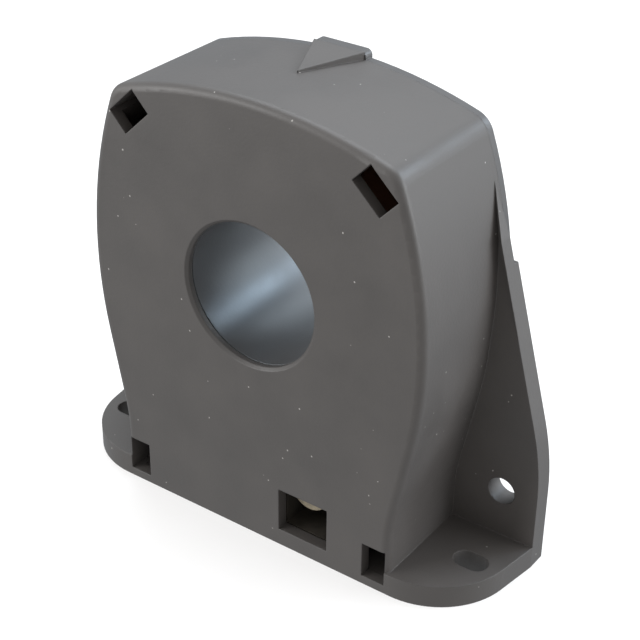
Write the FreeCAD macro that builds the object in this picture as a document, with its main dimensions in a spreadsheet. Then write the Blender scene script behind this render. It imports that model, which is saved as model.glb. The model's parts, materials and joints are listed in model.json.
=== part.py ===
import FreeCAD, Part
import math
import os
import re
import Sketcher
from FreeCAD import Vector

# Hall effect current sensor with a round aperture for the measured conductor.
# All lengths are in millimetres and all angles in degrees.
# Each piece is drawn in the case's own axes: X runs to the right along the front face, Y runs back
# from the front face and Z runs up from the foot. The Placement of every piece then moves it back
# by half the depth, so that the origin is the bottom centre of the whole sensor.

SIZES = {
    # Case outline, seen from the front
    "side_radius": 97.0,
    "side_room": 2.85,
    "bulge_drop": 1.9,
    "neck_inset": 5.8,
    "neck_height": 11.4,
    "top_radius": 98.0,
    "crown_room": 3.55,
    "corner_radius": 5.0,
    "corner_least": 0.3,
    "front_round": 1.6,
    "neck_round": 40.0,
    # Case depths and walls
    "front_room": 3.45,
    "rear_room": 3.45,
    "cover_thickness": 2.2,
    "front_wall": 2.6,
    "side_wall": 2.2,
    "base_wall": 1.8,
    # Aperture for the conductor
    "bore_radius": 15.0,
    "lip_depth": 1.6,
    "lip_bevel": 0.6,
    "tube_wall": 1.5,
    "tube_fit": 0.1,
    "tube_end_gap": 0.25,
    # Foot with its two slots
    "foot_thickness": 5.0,
    "foot_flare": 1.2,
    "foot_corner": 17.0,
    "foot_slot_inset": 7.9,
    "foot_slot_y": 13.4,
    "foot_slot_length": 7.4,
    "foot_slot_width": 5.0,
    # Upright wings behind the foot
    "wing_thickness": 4.5,
    "wing_overhang": 12.9,
    "wing_straight_height": 16.7,
    "wing_radius": 60.0,
    "wing_slant": 15.35,
    "wing_tip_height": 80.0,
    "wing_pad_height": 64.6,
    "wing_pad_depth": 1.3,
    "wing_hole_inset": 8.0,
    "wing_hole_z": 15.6,
    "wing_hole_radius": 3.0,
    # Raised arrow on top, which points along the measured current
    "arrow_tip_y": 15.3,
    "arrow_half": 5.8,
    "arrow_rise": 1.3,
    "arrow_tip_rise": 0.5,
    "arrow_root": 2.0,
    "arrow_tab_half": 6.1,
    "arrow_tab_round": 1.2,
    # Latch windows in the front wall, upper pair turned to the corners
    "upper_latch_inset": 11.45,
    "upper_latch_drop": 9.6,
    "upper_latch_turn": 46.5,
    "upper_latch_deep": 5.5,
    "upper_latch_wide": 8.1,
    "lower_latch_inset": 3.45,
    "lower_latch_z": 5.9,
    "lower_latch_turn": 0.0,
    "lower_latch_deep": 5.3,
    "lower_latch_wide": 8.0,
    "latch_run": 20.0,
    "catch_length": 2.5,
    "catch_height": 2.0,
    "catch_root": 0.65,
    "hook_thickness": 1.8,
    "hook_side_gap": 0.5,
    "hook_gap": 0.15,
    "hook_barb": 1.2,
    "hook_barb_length": 2.2,
    "barb_chamfer": 1.0,
    # Rear cover
    "cover_lift": 0.3,
    "cover_bevel": 0.5,
    "spigot_fit": 0.15,
    "spigot_wall": 1.4,
    "spigot_length": 1.6,
    # Magnetic core with its gap at the bottom
    "core_build": 11.3,
    "core_width": 13.0,
    "core_gap": 2.8,
    # Insulating case round the core
    "shell_fit": 0.15,
    "shell_wall": 0.8,
    "mouth_half": 7.0,
    # Secondary winding
    "winding_fit": 0.1,
    "winding_build": 2.0,
    "coil_tube_gap": 0.35,
    "coil_lift": 4.55,
    # Foam pads that hold the wound core lengthways
    "cushion_gap": 1.9,
    "cushion_size": 9.0,
    # Circuit board on its two ledges
    "board_side_gap": 0.4,
    "board_bottom": 15.5,
    "board_thickness": 1.6,
    "board_end_gap": 0.3,
    "board_notch": 3.0,
    "ledge_depth": 2.5,
    "ledge_height": 2.0,
    "ledge_length": 19.0,
    # Connector window and header
    "window_left": 7.0,
    "window_right": 18.9,
    "window_bottom": 3.8,
    "window_top": 13.8,
    "header_gap": 0.3,
    "header_wall": 1.4,
    "header_length": 14.0,
    "header_base": 3.0,
    "pin_count": 4,
    "pin_pitch": 2.54,
    "pin_width": 0.64,
    "pin_reach": 7.0,
    "pin_height": 7.6,
    "pin_tail_gap": 2.0,
    "lock_radius": 4.4,
    "lock_thickness": 1.2,
    "lock_drop": 4.9,
    "lock_set_back": 0.9,
    "lock_shift": -1.0,
    # Hall element and its carrier in the core gap
    "carrier_fit": 0.1,
    "carrier_depth": 9.0,
    "carrier_overhang": 0.5,
    "carrier_height": 11.0,
    "hall_thickness": 1.5,
    "hall_width": 4.2,
    "hall_height": 3.2,
    "nest_fit": 0.1,
    "hall_lead_count": 4,
    "hall_lead_pitch": 1.0,
    "hall_lead_width": 0.4,
    # Output stage
    "spreader_thickness": 1.4,
    "spreader_gap": 1.3,
    "spreader_height": 13.5,
    "spreader_width": 16.0,
    "transistor_thickness": 3.2,
    "transistor_width": 8.0,
    "transistor_height": 9.0,
    "transistor_lift": 2.0,
    "transistor_lead_width": 0.7,
    "transistor_lead_pitch": 2.3,
    "transistor_hole_up": 6.6,
    "screw_radius": 1.4,
    "screw_fit": 0.1,
    "screw_head_radius": 2.6,
    "screw_head_length": 1.8,
    # Parts under the board
    "capacitor_radius": 4.9,
    "capacitor_height": 11.5,
    "capacitor_inset": 10.9,
    "capacitor_front_y": 9.0,
    "capacitor_rear_y": 21.0,
    "capacitor_lift": 0.8,
    "capacitor_pitch": 5.0,
    "chip_length": 9.4,
    "chip_width": 6.4,
    "chip_height": 3.3,
    "chip_x": -4.5,
    "chip_y": 11.0,
    "chip_standoff": 0.5,
    "chip_pin_width": 0.5,
    "chip_pin_pitch": 2.54,
    "shunt_radius": 2.4,
    "shunt_length": 12.0,
    "shunt_span": 15.0,
    "shunt_x": -4.5,
    "shunt_y": 21.0,
    "lead_width": 0.6,
    "part_rise": 0.4,
    "trimmer_size": 6.6,
    "trimmer_height": 4.6,
    "trimmer_inset": 6.4,
    "trimmer_y": 22.0,
    "trimmer_screw_radius": 1.5,
    "trimmer_screw_height": 0.5,
    # Small parts on top of the board
    "resistor_length": 6.3,
    "resistor_width": 3.2,
    "resistor_height": 0.6,
    "resistor_x": 12.5,
    "resistor_first_y": 8.5,
    "resistor_pitch": 4.2,
    "resistor_count": 3,
    "diode_length": 4.6,
    "diode_width": 2.6,
    "diode_height": 2.0,
    "diode_x": -12.5,
    "diode_first_y": 9.0,
    "diode_pitch": 5.0,
    "diode_count": 2,
    "cap_length": 0.6,
    "cap_wrap": 0.1,
    # Enamelled leads from the winding to the board
    "winding_lead_width": 0.9,
    "winding_lead_x": 5.2,
    "winding_lead_y": 3.0,
}

# Lengths that follow from the sizes, from the aperture outwards: each wall keeps its room
FOLLOWING = {
    "wound_layers": "shell_fit + shell_wall + winding_fit + winding_build",
    "core_inner": "bore_radius + tube_wall + coil_tube_gap + wound_layers",
    "core_outer": "core_inner + core_build",
    "coil_radius": "core_outer + wound_layers",
    "bore_height": "board_bottom + board_thickness + coil_lift + coil_radius",
    "bulge_height": "bore_height - bulge_drop",
    "top_height": "bore_height + coil_radius + crown_room + side_wall",
    "half_width": "coil_radius + side_room + side_wall",
    "neck_half": "half_width - neck_inset",
    "wing_half": "half_width + wing_overhang",
    "board_half": "neck_half - side_wall - board_side_gap",
    "spreader_x": "neck_half - side_wall - spreader_gap - spreader_thickness",
    "capacitor_x": "capacitor_inset - board_half",
    "trimmer_x": "board_half - trimmer_inset",
    "core_middle": "front_wall + front_room + wound_layers + core_width / 2",
    "case_depth": "core_middle + core_width / 2 + wound_layers + rear_room",
    "cushion_offset": "(bore_radius + tube_wall + cushion_gap) / sqrt(2) + cushion_size / 2",
}

ORIGIN = -1
X_AXIS = -1
Z_AXIS = -2
START, END, CENTRE = 1, 2, 3

doc = FreeCAD.newDocument("CurrentSensor")


def make_sheet():
    dims = doc.addObject("Spreadsheet::Sheet", "Dims")
    cells = dict(SIZES)
    for alias, formula in FOLLOWING.items():
        cells[alias] = f"={formula}"
    for row, (alias, content) in enumerate(cells.items(), start=1):
        dims.set(f"A{row}", alias)
        dims.set(f"B{row}", str(content))
        dims.setAlias(f"B{row}", alias)
    doc.recompute()
    return dims


sheet = make_sheet()


def tied(expression):
    """Every word with an underscore is the alias of a cell."""
    return re.sub(r"[a-z]+(?:_[a-z]+)+", r"Dims.\g<0>", expression)


def value(expression):
    return float(sheet.evalExpression(tied(expression)))


def bind(thing, **expressions):
    for name, expression in expressions.items():
        thing.setExpression(name.replace("__", "."), tied(expression))


def set_back(piece):
    """Moves a finished piece from the front face's axes to the sensor's centre."""
    bind(piece, Placement__Base__y="-(case_depth + cover_thickness) / 2")


def new_body(label):
    body = doc.addObject("PartDesign::Body", label)
    body.Label = label
    set_back(body)
    return body


def sketch_on(body, role, name, x="0", y="0", lift="0", turn="0"):
    """A sketch on one of the body's own planes, moved by x, y in the plane and lifted off it."""
    sketch = body.newObject("Sketcher::SketchObject", name)
    plane = next(item for item in body.Origin.OriginFeatures if item.Role == role)
    sketch.AttachmentSupport = [(plane, "")]
    sketch.MapMode = "FlatFace"
    bind(sketch, AttachmentOffset__Base__x=x, AttachmentOffset__Base__y=y,
         AttachmentOffset__Base__z=lift)
    if turn != "0":
        bind(sketch, AttachmentOffset__Rotation__Angle=turn)
    return sketch


def front_sketch(body, name, y="0", x="0", z="0", turn="0"):
    """A sketch seen from the front, y behind the front face."""
    return sketch_on(body, "XZ_Plane", name, x=x, y=z, lift=f"-({y})", turn=turn)


def plan_sketch(body, name, z="0"):
    return sketch_on(body, "XY_Plane", name, lift=z)


def side_sketch(body, name):
    return sketch_on(body, "YZ_Plane", name)


def dimension(sketch, kind, where, expression):
    number = value(expression)
    if kind == "Angle":
        number = math.radians(number)
    index = sketch.addConstraint(Sketcher.Constraint(kind, *where, number))
    sketch.setExpression(f"Constraints[{index}]", tied(expression))


def pin(sketch, curve, point, x, y):
    """Fixes one point of a curve at x, y from the sketch's origin."""
    for kind, axis, expression in (("DistanceX", Z_AXIS, x), ("DistanceY", X_AXIS, y)):
        if expression == "0":
            sketch.addConstraint(Sketcher.Constraint("PointOnObject", curve, point, axis))
        else:
            dimension(sketch, kind, (ORIGIN, START, curve, point), expression)


def polygon(sketch, corners):
    points = [Vector(value(x), value(y), 0) for x, y in corners]
    first = sketch.GeometryCount
    count = len(points)
    for index in range(count):
        sketch.addGeometry(Part.LineSegment(points[index], points[(index + 1) % count]), False)
    for index in range(count):
        following = first + (index + 1) % count
        joint = Sketcher.Constraint("Coincident", first + index, END, following, START)
        sketch.addConstraint(joint)
    for index, (x, y) in enumerate(corners):
        pin(sketch, first + index, START, x, y)


def rectangle(sketch, left, right, low, high):
    polygon(sketch, [(left, low), (right, low), (right, high), (left, high)])


def circle(sketch, x, y, radius):
    shape = Part.Circle(Vector(value(x), value(y), 0), Vector(0, 0, 1), value(radius))
    curve = sketch.addGeometry(shape, False)
    pin(sketch, curve, CENTRE, x, y)
    dimension(sketch, "Radius", (curve,), radius)


def arc_between(centre, radius, first, last):
    start = math.atan2(first.y - centre.y, first.x - centre.x)
    end = math.atan2(last.y - centre.y, last.x - centre.x)
    if end < start:
        end += 2 * math.pi
    return Part.ArcOfCircle(Part.Circle(centre, Vector(0, 0, 1), radius), start, end)


def mirrored(point):
    return Vector(-point.x, point.y, 0)


def tangent_point(outside, centre, radius, side):
    """Where a line from a point outside a circle touches it, on the side of turn +1 or -1."""
    reach = outside - centre
    swing = side * math.acos(radius / reach.Length)
    angle = math.atan2(reach.y, reach.x) + swing
    return centre + Vector(math.cos(angle), math.sin(angle), 0) * radius


def case_outline(sketch, inset, floor):
    """The arched outline of the case, made smaller all round by inset, with its base at floor.
    Up the right side: upright neck, hollow curve, slanting line, side arc, corner arc, top arc."""
    neck = value(f"neck_half - ({inset})")
    base = value(floor)
    hollow_r = value(f"neck_round + ({inset})")
    side_r = value(f"side_radius - ({inset})")
    top_r = value(f"top_radius - ({inset})")
    corner = f"max(corner_radius - ({inset}); corner_least)"
    corner_r = value(corner)
    side_centre = Vector(value("half_width - side_radius"), value("bulge_height"), 0)
    top_centre = Vector(0, value("top_height - top_radius"), 0)
    neck_top = Vector(neck, value("neck_height"), 0)
    hollow_centre = neck_top + Vector(hollow_r, 0, 0)
    across = hollow_centre - side_centre
    slope = math.atan2(across.y, across.x) + math.acos((side_r + hollow_r) / across.Length)
    outward = Vector(math.cos(slope), math.sin(slope), 0)
    hollow_end = hollow_centre - outward * hollow_r
    side_start = side_centre + outward * side_r
    link = top_centre - side_centre
    along = (side_r - corner_r) ** 2 - (top_r - corner_r) ** 2 + link.Length ** 2
    along = along / (2 * link.Length)
    aside = math.sqrt((side_r - corner_r) ** 2 - along ** 2)
    link.normalize()
    corner_centre = side_centre + link * along + Vector(-link.y, link.x, 0) * aside
    side_end = side_centre + (corner_centre - side_centre).normalize() * side_r
    top_start = top_centre + (corner_centre - top_centre).normalize() * top_r
    base_left = Vector(-neck, base, 0)
    base_right = Vector(neck, base, 0)
    left = [mirrored(point) for point in (neck_top, hollow_end, side_start, side_end, top_start)]
    sketch.addGeometry([
        Part.LineSegment(base_left, base_right),
        Part.LineSegment(base_right, neck_top),
        arc_between(hollow_centre, hollow_r, hollow_end, neck_top),
        Part.LineSegment(hollow_end, side_start),
        arc_between(side_centre, side_r, side_start, side_end),
        arc_between(corner_centre, corner_r, side_end, top_start),
        arc_between(top_centre, top_r, top_start, left[4]),
        arc_between(mirrored(corner_centre), corner_r, left[4], left[3]),
        arc_between(mirrored(side_centre), side_r, left[3], left[2]),
        Part.LineSegment(left[2], left[1]),
        arc_between(mirrored(hollow_centre), hollow_r, left[0], left[1]),
        Part.LineSegment(left[0], base_left),
    ], False)
    rule = Sketcher.Constraint
    sketch.addConstraint([
        rule("Coincident", 0, END, 1, START),
        rule("Tangent", 1, END, 2, END),
        rule("Tangent", 2, START, 3, START),
        rule("Tangent", 3, END, 4, START),
        rule("Tangent", 4, END, 5, START),
        rule("Tangent", 5, END, 6, START),
        rule("Tangent", 6, END, 7, START),
        rule("Tangent", 7, END, 8, START),
        rule("Tangent", 8, END, 9, START),
        rule("Coincident", 9, END, 10, END),
        rule("Coincident", 10, START, 11, START),
        rule("Coincident", 11, END, 0, START),
        rule("Vertical", 1),
        rule("Symmetric", 0, START, 0, END, Z_AXIS),
        rule("Symmetric", 1, END, 11, START, Z_AXIS),
        rule("Symmetric", 3, START, 9, END, Z_AXIS),
        rule("Symmetric", 4, CENTRE, 8, CENTRE, Z_AXIS),
        rule("PointOnObject", 6, CENTRE, Z_AXIS),
        rule("Equal", 2, 10),
        rule("Equal", 4, 8),
        rule("Equal", 5, 7),
    ])
    pin(sketch, 1, START, f"neck_half - ({inset})", floor)
    dimension(sketch, "DistanceY", (ORIGIN, START, 1, END), "neck_height")
    dimension(sketch, "Radius", (2,), f"neck_round + ({inset})")
    dimension(sketch, "Radius", (4,), f"side_radius - ({inset})")
    pin(sketch, 4, CENTRE, "half_width - side_radius", "bulge_height")
    dimension(sketch, "Radius", (6,), f"top_radius - ({inset})")
    dimension(sketch, "DistanceY", (ORIGIN, START, 6, CENTRE), "top_height - top_radius")
    dimension(sketch, "Radius", (5,), corner)


def is_seen_from_front(sketch):
    return sketch.AttachmentSupport[0][0].Role == "XZ_Plane"


def pad(body, sketch, name, length):
    """Adds material from the sketch towards the rear, or upwards from a plan sketch."""
    feature = body.newObject("PartDesign::Pad", name)
    feature.Profile = sketch
    bind(feature, Length=length)
    feature.Reversed = is_seen_from_front(sketch)
    doc.recompute()
    return feature


def pocket(body, sketch, name, length, both_ways=False):
    """Cuts from the sketch towards the rear, upwards from a plan sketch, or both ways."""
    before = body.Shape.Volume
    feature = body.newObject("PartDesign::Pocket", name)
    feature.Profile = sketch
    bind(feature, Length=length)
    feature.Reversed = not is_seen_from_front(sketch)
    if both_ways:
        feature.SideType = "Symmetric"
    doc.recompute()
    if body.Shape.Volume >= before:
        raise RuntimeError(f"{name} cuts nothing")
    return feature


def edges_where(shape, test):
    return [f"Edge{index}" for index, edge in enumerate(shape.Edges, start=1) if test(edge)]


def round_edges(body, name, radius, test, kind="Fillet"):
    """Rounds, or chamfers, every edge of the body so far that passes the test."""
    base = body.Tip
    names = edges_where(base.Shape, test)
    feature = body.newObject(f"PartDesign::{kind}", name)
    feature.Base = (base, names)
    bind(feature, **{"Radius" if kind == "Fillet" else "Size": radius})
    doc.recompute()
    return feature


def lies_at(edge, axis, place):
    """True for an edge that stays at one place along X, Y or Z."""
    box = edge.BoundBox
    low, high = getattr(box, f"{axis}Min"), getattr(box, f"{axis}Max")
    return abs(low - place) < 1e-4 and abs(high - place) < 1e-4


FOOT_STRAIGHT = "(wing_half - foot_flare - foot_corner)"


def foot_outline(sketch):
    """Plan of the foot: straight at the front, two round corners, sides that flare to the wings."""
    radius = value("foot_corner")
    centre = Vector(value(FOOT_STRAIGHT), radius, 0)
    rear = Vector(value("wing_half"), value("case_depth - wing_thickness"), 0)
    front = Vector(centre.x, 0, 0)
    side = tangent_point(rear, centre, radius, -1)
    sketch.addGeometry([
        Part.LineSegment(mirrored(front), front),
        arc_between(centre, radius, front, side),
        Part.LineSegment(side, rear),
        Part.LineSegment(rear, mirrored(rear)),
        Part.LineSegment(mirrored(rear), mirrored(side)),
        arc_between(mirrored(centre), radius, mirrored(side), mirrored(front)),
    ], False)
    rule = Sketcher.Constraint
    sketch.addConstraint([
        rule("Tangent", 0, END, 1, START),
        rule("Tangent", 1, END, 2, START),
        rule("Coincident", 2, END, 3, START),
        rule("Coincident", 3, END, 4, START),
        rule("Tangent", 4, END, 5, START),
        rule("Tangent", 5, END, 0, START),
        rule("Symmetric", 3, START, 3, END, Z_AXIS),
        rule("Symmetric", 0, START, 0, END, Z_AXIS),
        rule("Equal", 1, 5),
    ])
    pin(sketch, 0, END, FOOT_STRAIGHT, "0")
    pin(sketch, 2, END, "wing_half", "case_depth - wing_thickness")
    dimension(sketch, "Radius", (1,), "foot_corner")


def wing_outline(sketch, height):
    """Both wings in one outline up to height: upright, curved in, then slanting straight up."""
    radius = value("wing_radius")
    slant = math.radians(value("wing_slant"))
    curve_centre = Vector(value("wing_half") - radius, value("wing_straight_height"), 0)
    curve_start = curve_centre + Vector(radius, 0, 0)
    curve_end = curve_centre + Vector(math.cos(slant), math.sin(slant), 0) * radius
    rise = value(height) - curve_end.y
    top = curve_end + Vector(-rise * math.tan(slant), rise, 0)
    base = Vector(curve_start.x, 0, 0)
    sketch.addGeometry([
        Part.LineSegment(mirrored(base), base),
        Part.LineSegment(base, curve_start),
        arc_between(curve_centre, radius, curve_start, curve_end),
        Part.LineSegment(curve_end, top),
        Part.LineSegment(top, mirrored(top)),
        Part.LineSegment(mirrored(top), mirrored(curve_end)),
        arc_between(mirrored(curve_centre), radius, mirrored(curve_end), mirrored(curve_start)),
        Part.LineSegment(mirrored(curve_start), mirrored(base)),
    ], False)
    rule = Sketcher.Constraint
    sketch.addConstraint([
        rule("Coincident", 0, END, 1, START),
        rule("Tangent", 1, END, 2, START),
        rule("Tangent", 2, END, 3, START),
        rule("Coincident", 3, END, 4, START),
        rule("Coincident", 4, END, 5, START),
        rule("Tangent", 5, END, 6, START),
        rule("Coincident", 6, END, 7, START),
        rule("Coincident", 7, END, 0, START),
        rule("Vertical", 1),
        rule("Symmetric", 0, START, 0, END, Z_AXIS),
        rule("Symmetric", 1, END, 7, START, Z_AXIS),
        rule("Symmetric", 3, START, 5, END, Z_AXIS),
        rule("Symmetric", 3, END, 5, START, Z_AXIS),
    ])
    pin(sketch, 0, END, "wing_half", "0")
    dimension(sketch, "DistanceY", (ORIGIN, START, 1, END), "wing_straight_height")
    dimension(sketch, "Radius", (2,), "wing_radius")
    dimension(sketch, "Angle", (3,), "90 + wing_slant")
    dimension(sketch, "DistanceY", (ORIGIN, START, 3, END), height)


LATCH_PLACES = {
    "upper_latch": ("(half_width - upper_latch_inset)", "top_height - upper_latch_drop"),
    "lower_latch": ("(neck_half - lower_latch_inset)", "lower_latch_z"),
}


def latch_places():
    """The four latches: name, row of sizes and side."""
    for row in ("upper_latch", "lower_latch"):
        for side, sign in (("right", ""), ("left", "-")):
            yield f"{row}_{side}", row, sign


def latch_sketch(body, name, row, sign, y):
    """A sketch centred on one latch window, with its X axis pointing out of the case."""
    across, up = LATCH_PLACES[row]
    turn = f"{row}_turn" if sign == "" else f"180 - {row}_turn"
    return front_sketch(body, name, y=y, x=f"{sign}{across}", z=up, turn=turn)


def ring_sketch(body, name, y, inner, outer):
    sketch = front_sketch(body, name, y=y)
    circle(sketch, "0", "bore_height", inner)
    circle(sketch, "0", "bore_height", outer)
    return sketch


def slot_sketch(sketch, x, y, length, width):
    """A slot with round ends, its length along X."""
    half = value(f"({length} - {width}) / 2")
    radius = value(f"{width} / 2")
    middle = Vector(value(x), value(y), 0)
    across = Vector(half, 0, 0)
    up = Vector(0, radius, 0)
    right, left = middle + across, middle - across
    first = sketch.GeometryCount
    sketch.addGeometry([
        Part.LineSegment(left - up, right - up),
        arc_between(right, radius, right - up, right + up),
        Part.LineSegment(right + up, left + up),
        arc_between(left, radius, left + up, left - up),
    ], False)
    rule = Sketcher.Constraint
    low, right_end, high, left_end = range(first, first + 4)
    sketch.addConstraint([
        rule("Tangent", low, END, right_end, START),
        rule("Tangent", right_end, END, high, START),
        rule("Tangent", high, END, left_end, START),
        rule("Tangent", left_end, END, low, START),
        rule("Horizontal", low),
        rule("Equal", right_end, left_end),
    ])
    pin(sketch, right_end, CENTRE, f"{x} + ({length} - {width}) / 2", y)
    dimension(sketch, "DistanceX", (ORIGIN, START, left_end, CENTRE),
              f"{x} - ({length} - {width}) / 2")
    dimension(sketch, "Radius", (right_end,), f"{width} / 2")


def add_wings_and_foot(body):
    wing_front = "case_depth - wing_thickness"
    wings = front_sketch(body, "WingOutline", y=wing_front)
    wing_outline(wings, "wing_tip_height")
    pad(body, wings, "Wings", "wing_thickness - wing_pad_depth")
    pads = front_sketch(body, "WingPadOutline", y=wing_front)
    wing_outline(pads, "wing_pad_height")
    pad(body, pads, "WingPads", "wing_thickness")
    foot = plan_sketch(body, "FootOutline")
    foot_outline(foot)
    pad(body, foot, "Foot", "foot_thickness")


ARROW_TOP = "(top_height + arrow_rise)"


def add_arrow(body):
    arrow = plan_sketch(body, "ArrowOutline", z="top_height - arrow_root")
    polygon(arrow, [("-arrow_half", "case_depth"), ("0", "arrow_tip_y"),
                    ("arrow_half", "case_depth")])
    pad(body, arrow, "Arrow", "arrow_rise + arrow_root")
    slope = side_sketch(body, "ArrowSlope")
    tip_top = "top_height + arrow_tip_rise"
    polygon(slope, [("arrow_tip_y", tip_top), ("case_depth", ARROW_TOP),
                    ("arrow_tip_y", ARROW_TOP)])
    pocket(body, slope, "ArrowSlopeCut", "2 * arrow_half", both_ways=True)


def hollow_out(body):
    cavity = front_sketch(body, "CavityOutline", y="front_wall")
    case_outline(cavity, "side_wall", "base_wall")
    pocket(body, cavity, "Cavity", "case_depth - front_wall")


def add_inner_ribs(body):
    """Two ledges for the board and four catches for the cover."""
    ledges = front_sketch(body, "LedgeOutline", y="front_wall")
    inside = "neck_half - side_wall - ledge_depth"
    rooted = "neck_half - side_wall / 2"
    low = "board_bottom - ledge_height"
    rectangle(ledges, inside, rooted, low, "board_bottom")
    rectangle(ledges, f"-({rooted})", f"-({inside})", low, "board_bottom")
    pad(body, ledges, "Ledges", "ledge_length")
    for name, row, sign in latch_places():
        catch = latch_sketch(body, f"{name}_catch_outline", row, sign, "latch_run")
        rectangle(catch, f"{row}_deep / 2 - catch_height", f"{row}_deep / 2 + catch_root",
                  f"-{row}_wide / 2", f"{row}_wide / 2")
        pad(body, catch, f"{name}_catch", "catch_length")


def cut_openings(body):
    bore = front_sketch(body, "BoreOutline")
    circle(bore, "0", "bore_height", "bore_radius")
    pocket(body, bore, "Bore", "front_wall")
    rim = value("bore_radius")
    round_edges(body, "BoreLip", "lip_bevel",
                lambda edge: lies_at(edge, "Y", 0) and is_circle(edge, rim), kind="Chamfer")
    seat = front_sketch(body, "TubeSeatOutline", y="lip_depth")
    circle(seat, "0", "bore_height", "bore_radius + tube_wall + tube_fit")
    pocket(body, seat, "TubeSeat", "front_wall - lip_depth")
    window = front_sketch(body, "WindowOutline")
    rectangle(window, "window_left", "window_right", "window_bottom", "window_top")
    pocket(body, window, "Window", "front_wall")
    for name, row, sign in latch_places():
        latch = latch_sketch(body, f"{name}_outline", row, sign, "0")
        rectangle(latch, f"-{row}_deep / 2", f"{row}_deep / 2",
                  f"-{row}_wide / 2", f"{row}_wide / 2")
        pocket(body, latch, name, "latch_run")
    for side, sign in (("Right", ""), ("Left", "-")):
        slot = plan_sketch(body, f"FootSlot{side}Outline")
        slot_sketch(slot, f"{sign}(wing_half - foot_slot_inset)", "foot_slot_y", "foot_slot_length",
                    "foot_slot_width")
        pocket(body, slot, f"FootSlot{side}", "foot_thickness")
    holes = front_sketch(body, "WingHoleOutline", y="case_depth - wing_thickness")
    for sign in ("", "-"):
        circle(holes, f"{sign}(wing_half - wing_hole_inset)", "wing_hole_z", "wing_hole_radius")
    pocket(body, holes, "WingHoles", "wing_thickness")


def is_circle(edge, radius):
    curve = edge.Curve
    return curve.TypeId == "Part::GeomCircle" and abs(curve.Radius - radius) < 1e-4


def make_housing_shell():
    body = new_body("housing_shell")
    outline = front_sketch(body, "CaseOutline")
    case_outline(outline, "0", "0")
    pad(body, outline, "CaseBlock", "case_depth")
    round_edges(body, "FrontRound", "front_round",
                lambda edge: lies_at(edge, "Y", 0) and not lies_at(edge, "Z", 0))
    add_wings_and_foot(body)
    add_arrow(body)
    hollow_out(body)
    add_inner_ribs(body)
    cut_openings(body)
    return body


def add_hook(body, name, row, sign):
    """A springy arm from the cover that reaches forward past its catch, with a barb."""
    outer = f"{row}_deep / 2 - catch_height - hook_gap"
    half = f"({row}_wide / 2 - hook_side_gap)"
    barb_front = "latch_run - hook_gap - hook_barb_length"
    arm = latch_sketch(body, f"{name}_arm_outline", row, sign, barb_front)
    rectangle(arm, f"{outer} - hook_thickness", outer, f"-{half}", half)
    pad(body, arm, f"{name}_arm", f"case_depth - ({barb_front})")
    barb = latch_sketch(body, f"{name}_barb_outline", row, sign, barb_front)
    rectangle(barb, f"{outer} - hook_thickness", f"{outer} + hook_barb", f"-{half}", half)
    pad(body, barb, f"{name}_barb", "hook_barb_length")
    front = value(barb_front)
    across, up = LATCH_PLACES[row]
    middle = Vector(value(f"{sign}{across}"), front, value(up))
    turn = math.radians(value(f"{row}_turn" if sign == "" else f"180 - {row}_turn"))
    outward = Vector(math.cos(turn), 0, math.sin(turn))
    reach = value(f"{outer} + hook_barb")

    def is_leading_edge(edge):
        if not lies_at(edge, "Y", front):
            return False
        return all(abs((vertex.Point - middle).dot(outward) - reach) < 1e-4
                   for vertex in edge.Vertexes)

    round_edges(body, f"{name}_lead", "barb_chamfer", is_leading_edge, kind="Chamfer")


def make_rear_cover():
    body = new_body("rear_cover")
    plate = front_sketch(body, "PlateOutline", y="case_depth")
    case_outline(plate, "0", "cover_lift")
    pad(body, plate, "Plate", "cover_thickness")
    rear = value("case_depth + cover_thickness")
    round_edges(body, "PlateBevel", "cover_bevel", lambda edge: lies_at(edge, "Y", rear),
                kind="Chamfer")
    spigot_front = "case_depth - spigot_length"
    spigot = front_sketch(body, "SpigotOutline", y=spigot_front)
    case_outline(spigot, "side_wall + spigot_fit", "base_wall + spigot_fit")
    pad(body, spigot, "Spigot", "spigot_length")
    hollow = front_sketch(body, "SpigotHollowOutline", y=spigot_front)
    case_outline(hollow, "side_wall + spigot_fit + spigot_wall",
                 "base_wall + spigot_fit + spigot_wall")
    pocket(body, hollow, "SpigotHollow", "spigot_length")
    tab = front_sketch(body, "ArrowTabOutline", y="case_depth")
    rectangle(tab, "-arrow_tab_half", "arrow_tab_half", "top_height - arrow_root", ARROW_TOP)
    pad(body, tab, "ArrowTab", "cover_thickness")
    crown = value(ARROW_TOP)
    round_edges(body, "ArrowTabRound", "arrow_tab_round",
                lambda edge: lies_at(edge, "Z", crown) and edge.BoundBox.XLength < 1e-4)
    tube_front = "lip_depth + tube_end_gap"
    tube = front_sketch(body, "TubeOutline", y=tube_front)
    circle(tube, "0", "bore_height", "bore_radius + tube_wall")
    to_rear = f"case_depth + cover_thickness - ({tube_front})"
    pad(body, tube, "Tube", to_rear)
    bore = front_sketch(body, "TubeBoreOutline", y=tube_front)
    circle(bore, "0", "bore_height", "bore_radius")
    pocket(body, bore, "TubeBore", to_rear)
    rim = value("bore_radius")
    round_edges(body, "RearLip", "lip_bevel",
                lambda edge: lies_at(edge, "Y", rear) and is_circle(edge, rim), kind="Chamfer")
    for name, row, sign in latch_places():
        add_hook(body, name, row, sign)
    return body


def box(name, x, y, z):
    """A block between two places along each of X, Y and Z."""
    block = doc.addObject("Part::Box", name)
    (left, right), (front, rear), (low, high) = x, y, z
    bind(block, Length=f"({right}) - ({left})", Width=f"({rear}) - ({front})",
         Height=f"({high}) - ({low})", Placement__Base__x=left, Placement__Base__y=front,
         Placement__Base__z=low)
    return block


def around(middle, size):
    return f"{middle} - {size} / 2", f"{middle} + {size} / 2"


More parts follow.
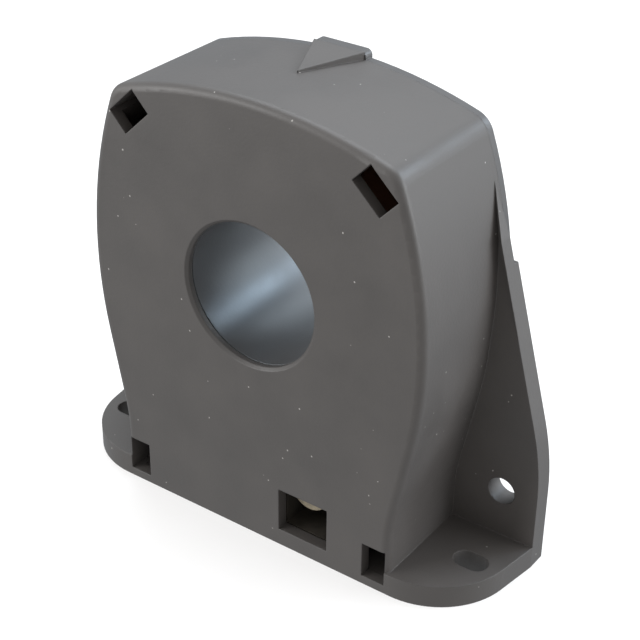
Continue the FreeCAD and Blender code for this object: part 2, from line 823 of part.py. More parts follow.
def rod(name, axis, radius, x, y, z, length):
    """A cylinder that starts at x, y, z and runs towards +axis."""
    cylinder = doc.addObject("Part::Cylinder", name)
    direction = {"X": Vector(1, 0, 0), "Y": Vector(0, 1, 0), "Z": Vector(0, 0, 1)}[axis]
    turn = FreeCAD.Rotation(Vector(0, 0, 1), direction)
    cylinder.Placement = FreeCAD.Placement(Vector(0, 0, 0), turn)
    bind(cylinder, Radius=radius, Height=length, Placement__Base__x=x, Placement__Base__y=y,
         Placement__Base__z=z)
    return cylinder


def join(name, pieces):
    union = doc.addObject("Part::MultiFuse", name)
    union.Shapes = pieces
    return union


def minus(name, base, tool):
    cut = doc.addObject("Part::Cut", name)
    cut.Base = base
    cut.Tool = tool
    return cut


def finish(piece, label):
    piece.Label = label
    set_back(piece)
    return piece


def ring(name, inner, outer, front, rear):
    """A plain ring about the aperture's axis."""
    body = doc.addObject("PartDesign::Body", name)
    pad(body, ring_sketch(body, f"{name}_outline", front, inner, outer), f"{name}_block",
        f"({rear}) - ({front})")
    return body


CORE_FRONT = "core_middle - core_width / 2"
CORE_REAR = "core_middle + core_width / 2"
CASED = "shell_fit + shell_wall"
WOUND_INSIDE = f"{CASED} + winding_fit"


def grown_core(name, growth):
    """The core's ring made bigger by growth on every face."""
    return ring(name, f"core_inner - ({growth})", f"core_outer + ({growth})",
                f"{CORE_FRONT} - ({growth})", f"{CORE_REAR} + ({growth})")


def bottom_slot(name, half):
    """A block that opens a ring at its bottom."""
    return box(name, (f"-{half}", half), ("0", "case_depth"), ("0", "bore_height"))


def open_layer(label, inside, outside):
    """One layer round the core, hollow for the layer inside it and open at the bottom."""
    outer = grown_core(f"{label}_outside", outside)
    inner = grown_core(f"{label}_inside", inside)
    mouth = bottom_slot(f"{label}_mouth", "mouth_half")
    return finish(minus(f"{label}_layer", outer, join(f"{label}_tools", [inner, mouth])), label)


def make_magnetic_core():
    gap = bottom_slot("core_gap_block", "core_gap / 2")
    return finish(minus("core_with_gap", grown_core("core_ring", "0"), gap), "magnetic_core")


def make_cushion(label, front, rear):
    """Four foam pads at the corners of a square, between the winding and a wall."""
    pads = []
    for index, (x_sign, z_sign) in enumerate((("", "+"), ("-", "+"), ("-", "-"), ("", "-"))):
        pads.append(box(f"{label}_pad_{index}", around(f"{x_sign}cushion_offset", "cushion_size"),
                        (front, rear),
                        around(f"bore_height {z_sign} cushion_offset", "cushion_size")))
    return finish(join(f"{label}_pads", pads), label)


def wire_path(name, width, points):
    """A square wire of that width through points that differ along one axis at a time."""
    half = f"{width} / 2"
    pieces = []
    for index, ends in enumerate(zip(points, points[1:])):
        spans = []
        for low, high in zip(*ends):
            if value(low) > value(high):
                low, high = high, low
            spans.append((low, high) if low != high else (f"{low} - {half}", f"{low} + {half}"))
        pieces.append(box(f"{name}_run_{index}", *spans))
    return pieces


BOARD_TOP = "board_bottom + board_thickness"


def make_winding_lead(label, side, y):
    """A lead from the cut end of the winding down to the board."""
    end_height = ("bore_height - sqrt((core_outer + shell_fit + shell_wall + winding_fit"
                  " + winding_build / 2) ^ 2 - mouth_half ^ 2)")
    path = [(f"{side}winding_lead_x", y, BOARD_TOP), (f"{side}winding_lead_x", y, end_height),
            (f"{side}mouth_half", y, end_height)]
    return finish(join(f"{label}_wire", wire_path(label, "winding_lead_width", path)), label)


def make_hall_carrier():
    thickness = "(core_gap - 2 * carrier_fit)"
    low = "bore_height - core_outer - carrier_overhang"
    block = box("carrier_block", around("0", thickness), around("core_middle", "carrier_depth"),
                (low, f"{low} + carrier_height"))
    nest = box("carrier_nest", around("0", "(hall_thickness + 2 * nest_fit)"),
               around("core_middle", "(hall_width + 2 * nest_fit)"),
               (low, f"{HALL_BOTTOM} + hall_height"))
    return finish(minus("carrier_body", block, nest), "hall_carrier")


HALL_BOTTOM = "bore_height - (core_inner + core_outer) / 2 - hall_height / 2"


def make_hall_element():
    pieces = [box("hall_chip", around("0", "hall_thickness"), around("core_middle", "hall_width"),
                  (HALL_BOTTOM, f"{HALL_BOTTOM} + hall_height"))]
    for index in range(int(value("hall_lead_count"))):
        middle = f"core_middle + ({index} - (hall_lead_count - 1) / 2) * hall_lead_pitch"
        pieces.append(box(f"hall_lead_{index}", around("0", "hall_lead_width"),
                          around(middle, "hall_lead_width"), (BOARD_TOP, HALL_BOTTOM)))
    return finish(join("hall_pieces", pieces), "hall_element")


def make_circuit_board():
    front = "front_wall + board_end_gap"
    height = ("board_bottom", BOARD_TOP)
    block = box("board_block", ("-board_half", "board_half"),
                (front, "case_depth - spigot_length - board_end_gap"), height)
    depth = (front, f"{front} + board_notch")
    left = box("board_notch_left", ("-board_half", "board_notch - board_half"), depth, height)
    right = box("board_notch_right", ("board_half - board_notch", "board_half"), depth, height)
    notches = join("board_notches", [left, right])
    return finish(minus("board_notched", block, notches), "circuit_board")


HEADER_FRONT = "front_wall + header_gap"
HEADER_REAR = f"{HEADER_FRONT} + header_length"
PINS_MIDDLE = "(window_left + window_right) / 2"


def pin_middle(index):
    return f"{PINS_MIDDLE} + ({index} - (pin_count - 1) / 2) * pin_pitch"


def make_connector_header():
    block = box("header_block", ("window_left - header_wall", "window_right + header_wall"),
                (HEADER_FRONT, HEADER_REAR), ("window_bottom - header_wall", "board_bottom"))
    mouth = box("header_mouth", ("window_left", "window_right"),
                (HEADER_FRONT, f"{HEADER_REAR} - header_base"), ("window_bottom", "window_top"))
    holes = [box(f"header_pin_hole_{index}", around(pin_middle(index), "pin_width"),
                 (HEADER_FRONT, HEADER_REAR), around("pin_height", "pin_width"))
             for index in range(int(value("pin_count")))]
    return finish(minus("header_shroud", block, join("header_tools", [mouth] + holes)),
                  "connector_header")


def make_connector_pins():
    pieces = []
    tail_rear = f"{HEADER_REAR} + pin_tail_gap"
    for index in range(int(value("pin_count"))):
        x = around(pin_middle(index), "pin_width")
        pieces.append(box(f"pin_{index}", x, (f"{HEADER_REAR} - header_base - pin_reach", tail_rear),
                          around("pin_height", "pin_width")))
        pieces.append(box(f"pin_tail_{index}", x, (f"{tail_rear} - pin_width", tail_rear),
                          ("pin_height - pin_width / 2", "board_bottom")))
    return finish(join("pin_pieces", pieces), "connector_pins")


def make_header_lock():
    """A tongue on the ceiling of the mouth, with a round lower edge."""
    front = f"{HEADER_FRONT} + lock_set_back"
    middle = f"{PINS_MIDDLE} + lock_shift"
    disc = rod("lock_disc", "Y", "lock_radius", middle, front,
               "window_top - lock_drop + lock_radius", "lock_thickness")
    below = box("lock_below", around(middle, "(2 * lock_radius)"),
                (front, f"{front} + lock_thickness"), ("window_top - lock_drop", "window_top"))
    tongue = doc.addObject("Part::MultiCommon", "lock_tongue")
    tongue.Shapes = [disc, below]
    return finish(tongue, "header_lock")


def facing(side, near, far):
    """Two distances from the middle as a low and a high X on that side."""
    return (near, far) if side == "" else (f"-({far})", f"-({near})")


def make_output_stage():
    """Each side has a transistor screwed to a heat spreader that stands on the board."""
    pieces = []
    screws = []
    screw_z = f"{BOARD_TOP} + transistor_lift + transistor_hole_up"
    plate_far = "spreader_x + spreader_thickness"
    chip_near = "spreader_x - transistor_thickness"
    for side, sign in (("left", "-"), ("right", "")):
        plate = box(f"spreader_plate_{side}", facing(sign, "spreader_x", plate_far),
                    around("core_middle", "spreader_width"),
                    (BOARD_TOP, f"{BOARD_TOP} + spreader_height"))
        chip = box(f"transistor_case_{side}", facing(sign, chip_near, "spreader_x"),
                   around("core_middle", "transistor_width"),
                   (f"{BOARD_TOP} + transistor_lift",
                    f"{BOARD_TOP} + transistor_lift + transistor_height"))
        legs = []
        for index in (-1, 0, 1):
            legs.append(box(f"transistor_leg_{side}_{index + 1}",
                            facing(sign, f"spreader_x - (transistor_thickness"
                                   " + transistor_lead_width) / 2",
                                   f"spreader_x - (transistor_thickness"
                                   " - transistor_lead_width) / 2"),
                            around(f"core_middle + {index} * transistor_lead_pitch",
                                   "transistor_lead_width"),
                            (BOARD_TOP, f"{BOARD_TOP} + transistor_lift")))
        start = facing(sign, chip_near, plate_far)[0]
        stack = "spreader_thickness + transistor_thickness"
        for name, whole in (("heat_spreader", plate),
                            ("power_transistor", join(f"transistor_{side}_all", [chip] + legs))):
            hole = rod(f"{name}_{side}_hole", "X", "screw_radius + screw_fit", start,
                       "core_middle", screw_z, stack)
            pieces.append(finish(minus(f"{name}_{side}_drilled", whole, hole),
                                 f"{name}_{side}"))
        head_x = facing(sign, f"{chip_near} - screw_head_length", chip_near)[0]
        screws.append(join(f"screw_{side}", [
            rod(f"screw_shank_{side}", "X", "screw_radius", start, "core_middle", screw_z, stack),
            rod(f"screw_head_{side}", "X", "screw_head_radius", head_x, "core_middle", screw_z,
                "screw_head_length")]))
    pieces.append(finish(join("screw_pair", screws), "spreader_screws"))
    return pieces


def make_filter_capacitor(label, y):
    """A can under the board on two short leads."""
    can = rod(f"{label}_can", "Z", "capacitor_radius", "capacitor_x", y,
              "board_bottom - capacitor_height", "capacitor_height - capacitor_lift")
    leads = [box(f"{label}_lead_{side}", around(f"capacitor_x {sign} capacitor_pitch / 2",
                                                "lead_width"),
                 around(y, "lead_width"), ("board_bottom - capacitor_lift", "board_bottom"))
             for side, sign in (("left", "-"), ("right", "+"))]
    return finish(join(f"{label}_pieces", [can, *leads]), label)


def make_amplifier_chip():
    body_high = "board_bottom - chip_standoff"
    pieces = [box("chip_body", around("chip_x", "chip_length"), around("chip_y", "chip_width"),
                  (f"{body_high} - chip_height", body_high))]
    for row, sign in (("front", "-"), ("rear", "+")):
        for index in range(4):
            middle = f"chip_x + ({index} - 1.5) * chip_pin_pitch"
            edge = f"chip_y {sign} (chip_width + chip_pin_width) / 2"
            pieces.append(box(f"chip_pin_{row}_{index}", around(middle, "chip_pin_width"),
                              around(edge, "chip_pin_width"),
                              (f"{body_high} - chip_height / 2", "board_bottom")))
    return finish(join("chip_pieces", pieces), "amplifier_chip")


def make_axial_part(label, radius, length, span, x, y, z, board_face):
    """A round part lying along X, with a lead at each end bent to the board's face."""
    start = f"{x} - ({length}) / 2"
    pieces = [rod(f"{label}_body", "X", radius, start, y, z, length)]
    for side, sign in (("left", "-"), ("right", "+")):
        path = [(f"{x} {sign} ({length}) / 2", y, z), (f"{x} {sign} ({span}) / 2", y, z),
                (f"{x} {sign} ({span}) / 2", y, board_face)]
        pieces += wire_path(f"{label}_{side}", "lead_width", path)
    return finish(join(f"{label}_pieces", pieces), label)


def make_zero_trimmer():
    low = "board_bottom - trimmer_height"
    case = box("trimmer_case", around("trimmer_x", "trimmer_size"),
               around("trimmer_y", "trimmer_size"), (low, "board_bottom"))
    screw = rod("trimmer_screw", "Z", "trimmer_screw_radius", "trimmer_x", "trimmer_y",
                f"{low} - trimmer_screw_height", "trimmer_screw_height")
    return finish(join("trimmer_pieces", [case, screw]), "zero_trimmer")


def make_surface_part(label, row, y):
    """A flat part on top of the board with a metal cap at each end, a little larger all round."""
    end = f"({row}_length / 2)"
    pieces = [box(f"{label}_body", around(f"{row}_x", f"({row}_length - cap_length)"),
                  around(y, f"{row}_width"),
                  (f"{BOARD_TOP} + cap_wrap", f"{BOARD_TOP} + cap_wrap + {row}_height"))]
    for side, near, far in (("left", f"-{end}", f"cap_length - {end}"),
                            ("right", f"{end} - cap_length", end)):
        pieces.append(box(f"{label}_cap_{side}", (f"{row}_x + {near}", f"{row}_x + {far}"),
                          around(y, f"({row}_width + 2 * cap_wrap)"),
                          (BOARD_TOP, f"{BOARD_TOP} + {row}_height + 2 * cap_wrap")))
    return finish(join(f"{label}_pieces", pieces), label)


def make_small_parts():
    """The sense resistor under the board, and the flat parts on top of it."""
    pieces = [make_axial_part("sense_resistor", "shunt_radius", "shunt_length", "shunt_span",
                              "shunt_x", "shunt_y", "board_bottom - shunt_radius - part_rise",
                              "board_bottom")]
    for kind, row in (("bias_resistor", "resistor"), ("clamp_diode", "diode")):
        for index in range(int(value(f"{row}_count"))):
            pieces.append(make_surface_part(f"{kind}_{index + 1}", row,
                                            f"{row}_first_y + {index} * {row}_pitch"))
    return pieces


def make_all():
    return [
        make_housing_shell(),
        make_rear_cover(),
        make_magnetic_core(),
        open_layer("core_case", "shell_fit", CASED),
        open_layer("secondary_winding", WOUND_INSIDE, "wound_layers"),
        make_cushion("front_cushion", "front_wall", f"{CORE_FRONT} - wound_layers"),
        make_cushion("rear_cushion", f"{CORE_REAR} + wound_layers", "case_depth"),
        make_winding_lead("winding_lead_start", "-", "core_middle - winding_lead_y"),
        make_winding_lead("winding_lead_end", "", "core_middle + winding_lead_y"),
        make_hall_carrier(),
        make_hall_element(),
        make_circuit_board(),
        make_connector_header(),
        make_connector_pins(),
        make_header_lock(),
        *make_output_stage(),
        make_filter_capacitor("filter_capacitor_front", "capacitor_front_y"),
        make_filter_capacitor("filter_capacitor_rear", "capacitor_rear_y"),
        make_amplifier_chip(),
        make_zero_trimmer(),
        *make_small_parts(),
    ]


def check_and_write(pieces):
    doc.recompute()
    broken = [item.Label for item in doc.Objects if {"Invalid", "Error"} & set(item.State)]
    broken += [piece.Label for piece in pieces
               if piece.Shape.isNull() or not piece.Shape.isValid() or not piece.Shape.Solids]
    if broken:
        raise RuntimeError(f"pieces that did not come out sound: {broken}")
    os.makedirs("parts", exist_ok=True)
    for piece in pieces:
        piece.Shape.exportStep(f"parts/{piece.Label}.step")


check_and_write(make_all())
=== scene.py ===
import json
import math

import bmesh
import bpy
from mathutils import Matrix, Vector


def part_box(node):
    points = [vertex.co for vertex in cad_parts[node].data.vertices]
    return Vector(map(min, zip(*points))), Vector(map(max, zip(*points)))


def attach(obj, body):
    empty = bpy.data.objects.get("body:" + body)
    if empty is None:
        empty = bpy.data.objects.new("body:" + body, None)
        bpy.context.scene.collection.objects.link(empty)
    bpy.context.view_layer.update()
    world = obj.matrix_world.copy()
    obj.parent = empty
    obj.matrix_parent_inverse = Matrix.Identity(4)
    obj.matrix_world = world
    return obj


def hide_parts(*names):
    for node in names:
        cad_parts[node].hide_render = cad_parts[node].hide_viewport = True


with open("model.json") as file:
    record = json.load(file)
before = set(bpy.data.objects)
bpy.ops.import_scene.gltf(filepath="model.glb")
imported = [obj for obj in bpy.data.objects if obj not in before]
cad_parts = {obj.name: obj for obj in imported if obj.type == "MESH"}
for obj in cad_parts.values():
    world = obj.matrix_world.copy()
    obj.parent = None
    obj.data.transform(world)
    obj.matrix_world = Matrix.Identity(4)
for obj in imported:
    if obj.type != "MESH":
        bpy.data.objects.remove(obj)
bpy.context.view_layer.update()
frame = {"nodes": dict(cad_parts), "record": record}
nodes = frame["nodes"]
scene = bpy.context.scene
case_low, case_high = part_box("housing_shell")
aperture = next(mount for mount in frame["record"]["mounts"] if mount["name"] == "aperture")

MM = 0.001
WHITE = (1.0, 1.0, 1.0)
FORWARD = Vector((0.0, -1.0, 0.0))
UPWARD = Vector((0.0, 0.0, 1.0))

# Surfaces: where along the wide noise the tone and the roughness change, and the fine relief
TONE_START = 0.3
TONE_END = 0.7
ROUGH_START = 0.25
ROUGH_END = 0.75
RELIEF_DEPTH = 0.1 * MM
EDGE_SAMPLES = 6

# Dust: specks at the points of a cell pattern, their core and rim as shares of a cell
DUST_COLOUR = (0.55, 0.54, 0.52)
DUST_COVER = 0.55
DUST_CELLS_PER_METRE = 240.0
SPECK_CORE = 0.025
SPECK_RIM = 0.05
DUST_WANDER = 0.3 * MM
DUST_WANDER_SCALE = 2500.0

# Aperture: its height, how far out its painted bluish reflection reaches, and how much stronger
# that painted reflection makes its wall's specular
BORE_HEIGHT = aperture["pos_m"][2]
BORE_MARGIN = 0.6 * MM
BORE_REACH = aperture["dims"]["r_mm"] * MM + BORE_MARGIN
BORE_REFLECTION_BOOST = 0.3

# Wings of the solid: the plane of their fronts, which lie further out than the root
WING_THICKNESS = 4.5 * MM
WING_FRONT_Y = case_high.y - WING_THICKNESS
WING_ROOT_X = 34.0 * MM

# Wings as shown: the heights where slant and narrowing start, the slant, and the tip's point
SLANT_START = 50.0 * MM
NARROW_START = 70.0 * MM
SLANT = 0.1067
WING_TIP = Vector((35.8, 11.85, 80.0)) * MM

# Edges of a solid front: the outer at the tip's height, the inner at NARROW_START, and their leans
OUTER_EDGE_X = 37.04 * MM
OUTER_EDGE_LEAN = 0.275
INNER_EDGE_X = 38.2 * MM
INNER_EDGE_LEAN = 0.065

# Tolerances for points, widths, cuts and directions of the wings' fronts
SAME_PLACE = 0.05 * MM
NARROWEST_FRONT = 0.1 * MM
CUT_TOLERANCE = 0.0001 * MM
FACING_FORWARD = 0.99

# Camera, fitted to the photograph, with its lens and sensor in millimetres
CAMERA_TURN = math.radians(35.486)
CAMERA_RISE = math.radians(31.075)
CAMERA_TILT = math.radians(0.682)
CAMERA_AIM = Vector((16.725 * MM, case_low.y, 56.91 * MM))
CAMERA_DISTANCE = 283.2 * MM
LENS_LENGTH = 87.22
SENSOR_WIDTH = 36.0
NEAREST_SEEN = 10.0 * MM

# Floor, in metres: its half width, its gap under the foot, and how it fades into the backdrop
FLOOR_REACH = 3.0
FLOOR_GAP = 0.02 * MM
FLOOR_LEVEL = case_low.z - FLOOR_GAP
FADE_START = 0.12
FADE_END = 0.6
BACKDROP_SHARE = 0.6


def node_tree(owner):
    """The emptied node tree of a material or a world."""
    owner.use_nodes = True
    tree = owner.node_tree
    tree.nodes.clear()
    return tree


def add_node(tree, kind, links=(), **settings):
    """A shader node with its settings; a link is (own input, other node, that node's output)."""
    node = tree.nodes.new(kind)
    for name, value in settings.items():
        if name in node.inputs:
            node.inputs[name].default_value = value
        elif hasattr(node, name):
            setattr(node, name, value)
        else:
            node.inputs[name.replace("_", " ")].default_value = value
    for socket, other, output in links:
        tree.links.new(other.outputs[output], node.inputs[socket])
    return node


def mixed(tree, source, output, first, second):
    """The first shader where the source gives 0, and the second one where it gives 1."""
    return add_node(tree, "ShaderNodeMixShader",
                    [("Fac", source, output), (1, first, 0), (2, second, 0)])


def toned(tree, noise, colour, spread):
    """A colour that the noise makes darker and lighter, by the spread at most."""
    ramp = add_node(tree, "ShaderNodeValToRGB", [("Fac", noise, "Fac")])
    ends = ramp.color_ramp.elements
    for index, place, factor in ((0, TONE_START, 1.0 - spread), (1, TONE_END, 1.0 + spread)):
        ends[index].position = place
        ends[index].color = (*(channel * factor for channel in colour), 1.0)
    return ramp


def dusted(tree, place, tint):
    """Pale specks, a fraction of a millimetre wide and a few millimetres apart, over a colour."""
    drift = add_node(tree, "ShaderNodeTexNoise", [("Vector", place, "Object")],
                     Scale=DUST_WANDER_SCALE, Detail=1.0)
    shifted = add_node(tree, "ShaderNodeVectorMath", [(0, drift, "Color"), (2, place, "Object")],
                       operation="MULTIPLY_ADD")
    shifted.inputs[1].default_value = (DUST_WANDER,) * 3
    cells = add_node(tree, "ShaderNodeTexVoronoi", [("Vector", shifted, "Vector")],
                     Scale=DUST_CELLS_PER_METRE)
    specks = add_node(tree, "ShaderNodeMapRange", [("Value", cells, "Distance")],
                      From_Min=SPECK_CORE, From_Max=SPECK_RIM, To_Min=DUST_COVER, To_Max=0.0)
    return add_node(tree, "ShaderNodeMixRGB",
                    [("Fac", specks, "Result"), ("Color1", tint, "Color")],
                    Color2=(*DUST_COLOUR, 1.0))


def inside_bore(tree, place):
    """1 on the wall of the round aperture and 0 outside it; the mask of the painted reflection."""
    flat = add_node(tree, "ShaderNodeMapping", [("Vector", place, "Object")])
    flat.inputs["Location"].default_value = (0.0, 0.0, -BORE_HEIGHT)
    flat.inputs["Scale"].default_value = (1.0, 0.0, 1.0)
    reach = add_node(tree, "ShaderNodeVectorMath", [(0, flat, "Vector")], operation="LENGTH")
    within = add_node(tree, "ShaderNodeMath", [(0, reach, "Value")], operation="LESS_THAN")
    within.inputs[1].default_value = BORE_REACH
    return within


def paint_bore_reflection(tree, place, shader, specular, painted_reflection_tint):
    """Paints a bluish reflection on the wall of the aperture: a tinted and stronger specular there
    only.
    """
    bore = inside_bore(tree, place)
    tinted = add_node(tree, "ShaderNodeMixRGB", [("Fac", bore, "Value")],
                      Color1=(*WHITE, 1.0), Color2=(*painted_reflection_tint, 1.0))
    gloss = add_node(tree, "ShaderNodeMapRange", [("Value", bore, "Value")],
                     To_Min=specular, To_Max=specular + BORE_REFLECTION_BOOST)
    tree.links.new(tinted.outputs["Color"], shader.inputs["Specular Tint"])
    tree.links.new(gloss.outputs["Result"], shader.inputs["Specular IOR Level"])


def surface(name, colour, roughness=0.5, spread=0.12, metallic=0.0, grain=900.0, bump=0.15,
            mottle=60.0, rough_spread=0.1, specular=0.5, bore_painted_reflection_tint=None, edge=0.0, dusty=False):
    """A procedural finish: mottled colour, uneven roughness and a fine bumpy grain.

    mottle and grain are the scales of the wide and the fine noise. spread and rough_spread are how
    far the wide one takes the colour and the roughness either way. edge is the radius, in
    millimetres, at which sharp corners catch the light as rounded.
    """
    material = bpy.data.materials.new(name)
    tree = node_tree(material)
    place = add_node(tree, "ShaderNodeTexCoord")
    wide = add_node(tree, "ShaderNodeTexNoise", [("Vector", place, "Object")],
                    Scale=mottle, Detail=5.0, Roughness=0.6)
    fine = add_node(tree, "ShaderNodeTexNoise", [("Vector", place, "Object")],
                    Scale=grain, Detail=3.0, Roughness=0.55)
    tint = toned(tree, wide, colour, spread)
    if dusty:
        tint = dusted(tree, place, tint)
    rough = add_node(tree, "ShaderNodeMapRange", [("Value", wide, "Fac")],
                     From_Min=ROUGH_START, From_Max=ROUGH_END,
                     To_Min=roughness - rough_spread, To_Max=roughness + rough_spread)
    relief = add_node(tree, "ShaderNodeBump", [("Height", fine, "Fac")],
                      Strength=bump, Distance=RELIEF_DEPTH)
    if edge:
        rounded = add_node(tree, "ShaderNodeBevel", samples=EDGE_SAMPLES, Radius=edge * MM)
        tree.links.new(rounded.outputs["Normal"], relief.inputs["Normal"])
    shader = add_node(tree, "ShaderNodeBsdfPrincipled",
                      [("Base Color", tint, "Color"), ("Roughness", rough, "Result"),
                       ("Normal", relief, "Normal")],
                      Metallic=metallic, Specular_IOR_Level=specular)
    # Painted reflection: a bluish specular tint and a stronger specular on the aperture's wall
    # only
    if bore_painted_reflection_tint:
        paint_bore_reflection(tree, place, shader, specular, bore_painted_reflection_tint)
    add_node(tree, "ShaderNodeOutputMaterial", [("Surface", shader, "BSDF")])
    return material


# Finishes, one for each material slot of the record
FINISHES = {
    "case_plastic": dict(colour=(0.0635, 0.0585, 0.0555), roughness=0.5, spread=0.08,
                         grain=1500.0, bump=0.3, edge=0.35, dusty=True),
    # The cover carries a painted bluish reflection on the aperture's wall
    "cover_plastic": dict(colour=(0.062, 0.06, 0.06), roughness=0.42, spread=0.1, grain=1500.0,
                          bump=0.2, bore_painted_reflection_tint=(0.8, 0.92, 1.0), edge=0.3),
    "core_steel": dict(colour=(0.4, 0.41, 0.43), roughness=0.35, metallic=1.0),
    "insulator_plastic": dict(colour=(0.72, 0.7, 0.64)),
    "winding_enamel": dict(colour=(0.2, 0.09, 0.05), roughness=0.4, metallic=0.3),
    "cushion_foam": dict(colour=(0.05, 0.05, 0.05), roughness=0.9),
    "lead_enamel": dict(colour=(0.5, 0.2, 0.07), roughness=0.3, metallic=0.8),
    "carrier_plastic": dict(colour=(0.03, 0.03, 0.03)),
    "chip_epoxy": dict(colour=(0.025, 0.025, 0.027)),
    "board_laminate": dict(colour=(0.03, 0.16, 0.06), roughness=0.3),
    "header_plastic": dict(colour=(0.036, 0.032, 0.026), roughness=0.45, spread=0.3, mottle=400.0),
    "pin_plating": dict(colour=(0.78, 0.77, 0.75), roughness=0.25, metallic=1.0),
    # Painted shade: the cream nylon lock is set to a darker tan, the tone it has in the shade
    # inside the case
    "lock_plastic": dict(colour=(0.22, 0.19, 0.135), roughness=0.45, spread=0.25, mottle=900.0),
    "spreader_aluminium": dict(colour=(0.75, 0.76, 0.77), roughness=0.35, metallic=1.0),
    "screw_steel": dict(colour=(0.6, 0.6, 0.61), roughness=0.3, metallic=1.0),
    "capacitor_sleeve": dict(colour=(0.02, 0.03, 0.09), roughness=0.3),
    "trimmer_plastic": dict(colour=(0.04, 0.12, 0.42), roughness=0.35),
    "resistor_lacquer": dict(colour=(0.5, 0.36, 0.2), roughness=0.3),
    "resistor_ceramic": dict(colour=(0.04, 0.04, 0.045), roughness=0.4),
    "diode_epoxy": dict(colour=(0.03, 0.03, 0.03), roughness=0.35),
}


def dress_nodes():
    """Gives each CAD node the finish of its material slot."""
    finishes = {name: surface(name, **look) for name, look in FINISHES.items()}
    for part in frame["record"]["subparts"]:
        materials = nodes[part["node"]].data.materials
        materials.clear()
        materials.append(finishes[part["material_slot"]])


def on_wing_front(vertex):
    """Whether a vertex of the case lies in the flat front of a wing."""
    return abs(vertex.co.y - WING_FRONT_Y) < SAME_PLACE and abs(vertex.co.x) > WING_ROOT_X


def cut_across(work, level):
    """Cuts the wings' fronts, and the faces that touch them, along one height."""
    faces = [face for face in work.faces if any(on_wing_front(vertex) for vertex in face.verts)]
    edges = {edge for face in faces for edge in face.edges}
    corners = {vertex for face in faces for vertex in face.verts}
    bmesh.ops.bisect_plane(work, geom=[*corners, *edges, *faces], dist=CUT_TOLERANCE,
                           plane_co=(0.0, 0.0, level), plane_no=UPWARD)


def slant_share(vertex):
    """0 on the outer edge of a wing's front, 1 on the inner edge, where it meets the body."""
    outer = OUTER_EDGE_X + OUTER_EDGE_LEAN * (WING_TIP.z - vertex.co.z)
    inner = INNER_EDGE_X + INNER_EDGE_LEAN * (NARROW_START - vertex.co.z)
    share = (outer - abs(vertex.co.x)) / max(outer - inner, NARROWEST_FRONT)
    return min(max(share, 0.0), 1.0)


def slant_vertex(vertex):
    """Moves a vertex of a wing's front back, and an outer corner of the wing's tip in."""
    at_tip = abs(vertex.co.z - WING_TIP.z) < SAME_PLACE
    if on_wing_front(vertex):
        shift = SLANT * max(vertex.co.z - SLANT_START, 0.0)
        vertex.co.y += shift if at_tip else shift * slant_share(vertex)
        vertex.co.y = min(vertex.co.y, WING_TIP.y)
    if at_tip and abs(abs(vertex.co.x) - OUTER_EDGE_X) < SAME_PLACE:
        vertex.co.x = math.copysign(WING_TIP.x, vertex.co.x)


def shade_as_upright(mesh, fronts):
    """Shades the slanted fronts as if they still stood upright and faced forward."""
    shading = [corner.vector.copy() for corner in mesh.corner_normals]
    for index in fronts:
        for corner in mesh.polygons[index].loop_indices:
            shading[corner] = FORWARD
    mesh.normals_split_custom_set(shading)


def slant_wings():
    """Shows a copy of the case, in its place, whose wing fronts slant back and end in a point.

    The inner edge of each front slants back from SLANT_START up. The outer edge stays where it is
    up to NARROW_START, and from there it runs back and in to the tip.
    """
    mesh = nodes["housing_shell"].data.copy()
    work = bmesh.new()
    work.from_mesh(mesh)
    cut_across(work, SLANT_START)
    cut_across(work, NARROW_START)
    work.faces.index_update()
    fronts = [face.index for face in work.faces
              if face.normal.dot(FORWARD) > FACING_FORWARD
              and any(on_wing_front(vertex) for vertex in face.verts)]
    for vertex in work.verts:
        slant_vertex(vertex)
    work.to_mesh(mesh)
    work.free()
    shade_as_upright(mesh, fronts)
    moulding = bpy.data.objects.new("OuterMoulding", mesh)
    scene.collection.objects.link(moulding)
    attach(moulding, "root")
    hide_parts("housing_shell")


def place_camera():
    """The view fitted to the photograph: aimed at the case's front, turned, raised and tilted."""
    back = Vector((math.sin(CAMERA_TURN) * math.cos(CAMERA_RISE),
                   -math.cos(CAMERA_TURN) * math.cos(CAMERA_RISE), math.sin(CAMERA_RISE)))
    level = (-back).cross(UPWARD).normalized()
    upright = level.cross(-back)
    right = level * math.cos(CAMERA_TILT) + upright * math.sin(CAMERA_TILT)
    up = upright * math.cos(CAMERA_TILT) - level * math.sin(CAMERA_TILT)
    data = bpy.data.cameras.new("Camera")
    data.sensor_width = SENSOR_WIDTH
    data.lens = LENS_LENGTH
    data.clip_start = NEAREST_SEEN
    camera = bpy.data.objects.new("Camera", data)
    pose = Matrix((right, up, back)).transposed().to_4x4()
    pose.translation = CAMERA_AIM + back * CAMERA_DISTANCE
    camera.matrix_world = pose
    scene.collection.objects.link(camera)
    scene.camera = camera


# Lamps, with places and sizes in metres, all turned to one point in the middle of the part
LAMP_AIM = Vector((0.0, 0.0, 0.05))
LAMPS = {
    "TopLight": dict(place=(-0.12, 0.25, 0.8), size=(0.7, 0.6), power=7.3,
                     colour=(0.9, 0.95, 1.0)),
    "RightRearLight": dict(place=(0.8, 0.35, 0.22), size=(0.6, 0.6), power=6.9,
                           colour=(0.94, 0.97, 1.0)),
    "CornerLight": dict(place=(0.46, 0.63, 0.5), size=(0.28, 0.28), power=3.4,
                        colour=(0.75, 0.87, 1.0)),
    "LeftFrontLight": dict(place=(-0.8, -0.75, 0.35), size=(0.7, 0.6), power=10.5, colour=WHITE),
}

# Light from all round: what surfaces scatter, what they mirror, and what the camera sees
AMBIENT = dict(Color=(1.0, 0.96, 0.93, 1.0), Strength=0.85)
MIRRORED = dict(Color=(0.84, 0.93, 1.0, 1.0), Strength=0.6)
BACKDROP = dict(Color=(*WHITE, 1.0), Strength=1.0)


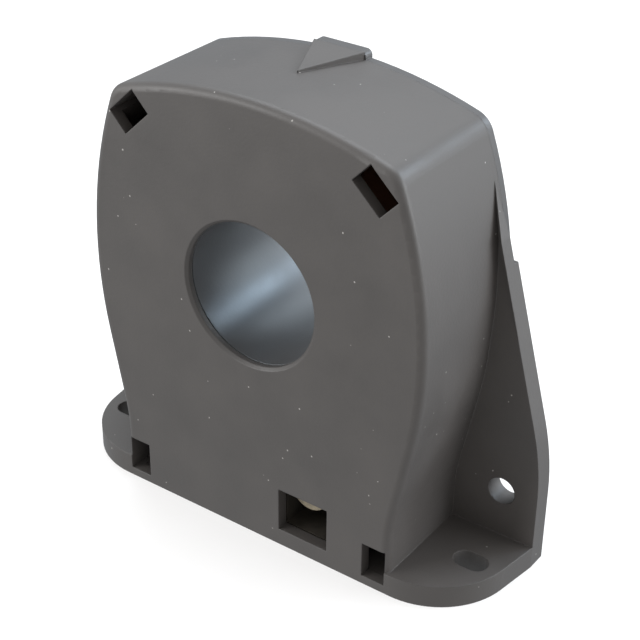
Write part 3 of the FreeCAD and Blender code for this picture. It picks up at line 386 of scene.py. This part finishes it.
def lamp(name, place, size, power, colour):
    """A rectangular lamp that is turned to the middle of the part."""
    data = bpy.data.lights.new(name, "AREA")
    data.shape = "RECTANGLE"
    data.size, data.size_y = size
    data.energy = power
    data.color = colour
    light = bpy.data.objects.new(name, data)
    light.location = place
    light.rotation_euler = (LAMP_AIM - Vector(place)).to_track_quat("-Z", "Y").to_euler()
    scene.collection.objects.link(light)


def light_studio():
    """The lamps, and a world that bounced, mirrored and camera rays see in different ways."""
    for name, light in LAMPS.items():
        lamp(name, **light)
    world = bpy.data.worlds.new("Studio")
    scene.world = world
    tree = node_tree(world)
    path = add_node(tree, "ShaderNodeLightPath")
    ambient, mirrored, backdrop = (add_node(tree, "ShaderNodeBackground", **glow)
                                   for glow in (AMBIENT, MIRRORED, BACKDROP))
    bounced = mixed(tree, path, "Is Glossy Ray", ambient, mirrored)
    sky = mixed(tree, path, "Is Camera Ray", bounced, backdrop)
    add_node(tree, "ShaderNodeOutputWorld", [("Surface", sky, "Shader")])
    scene.view_settings.view_transform = "Standard"


def floor_paper():
    """White paper: the camera sees it part lit, part backdrop, and as backdrop alone far out."""
    paper = surface("FloorPaper", colour=(0.93, 0.93, 0.93), roughness=0.9, spread=0.01,
                    specular=0.1, bump=0.02)
    tree = paper.node_tree
    surface_input = tree.get_output_node("ALL").inputs["Surface"]
    lit = surface_input.links[0].from_node
    path = add_node(tree, "ShaderNodeLightPath")
    place = add_node(tree, "ShaderNodeTexCoord")
    reach = add_node(tree, "ShaderNodeVectorMath", [(0, place, "Object")], operation="LENGTH")
    fade = add_node(tree, "ShaderNodeMapRange", [("Value", reach, "Value")],
                    From_Min=FADE_START, From_Max=FADE_END, To_Min=BACKDROP_SHARE, To_Max=1.0)
    share = add_node(tree, "ShaderNodeMath", [(0, path, "Is Camera Ray"), (1, fade, "Result")],
                     operation="MULTIPLY")
    backdrop = add_node(tree, "ShaderNodeEmission", Strength=1.0)
    seen = mixed(tree, share, "Value", lit, backdrop)
    tree.links.new(seen.outputs["Shader"], surface_input)
    return paper


def lay_floor():
    """A square sheet of paper under the foot, left out of bounced and mirrored light."""
    mesh = bpy.data.meshes.new("StudioFloor")
    corners = [(-1, -1), (1, -1), (1, 1), (-1, 1)]
    mesh.from_pydata([(x * FLOOR_REACH, y * FLOOR_REACH, 0) for x, y in corners], [],
                     [(0, 1, 2, 3)])
    mesh.materials.append(floor_paper())
    floor = bpy.data.objects.new("StudioFloor", mesh)
    floor.location.z = FLOOR_LEVEL
    floor.visible_diffuse = False
    floor.visible_glossy = False
    scene.collection.objects.link(floor)


dress_nodes()
slant_wings()
place_camera()
light_studio()
lay_floor()
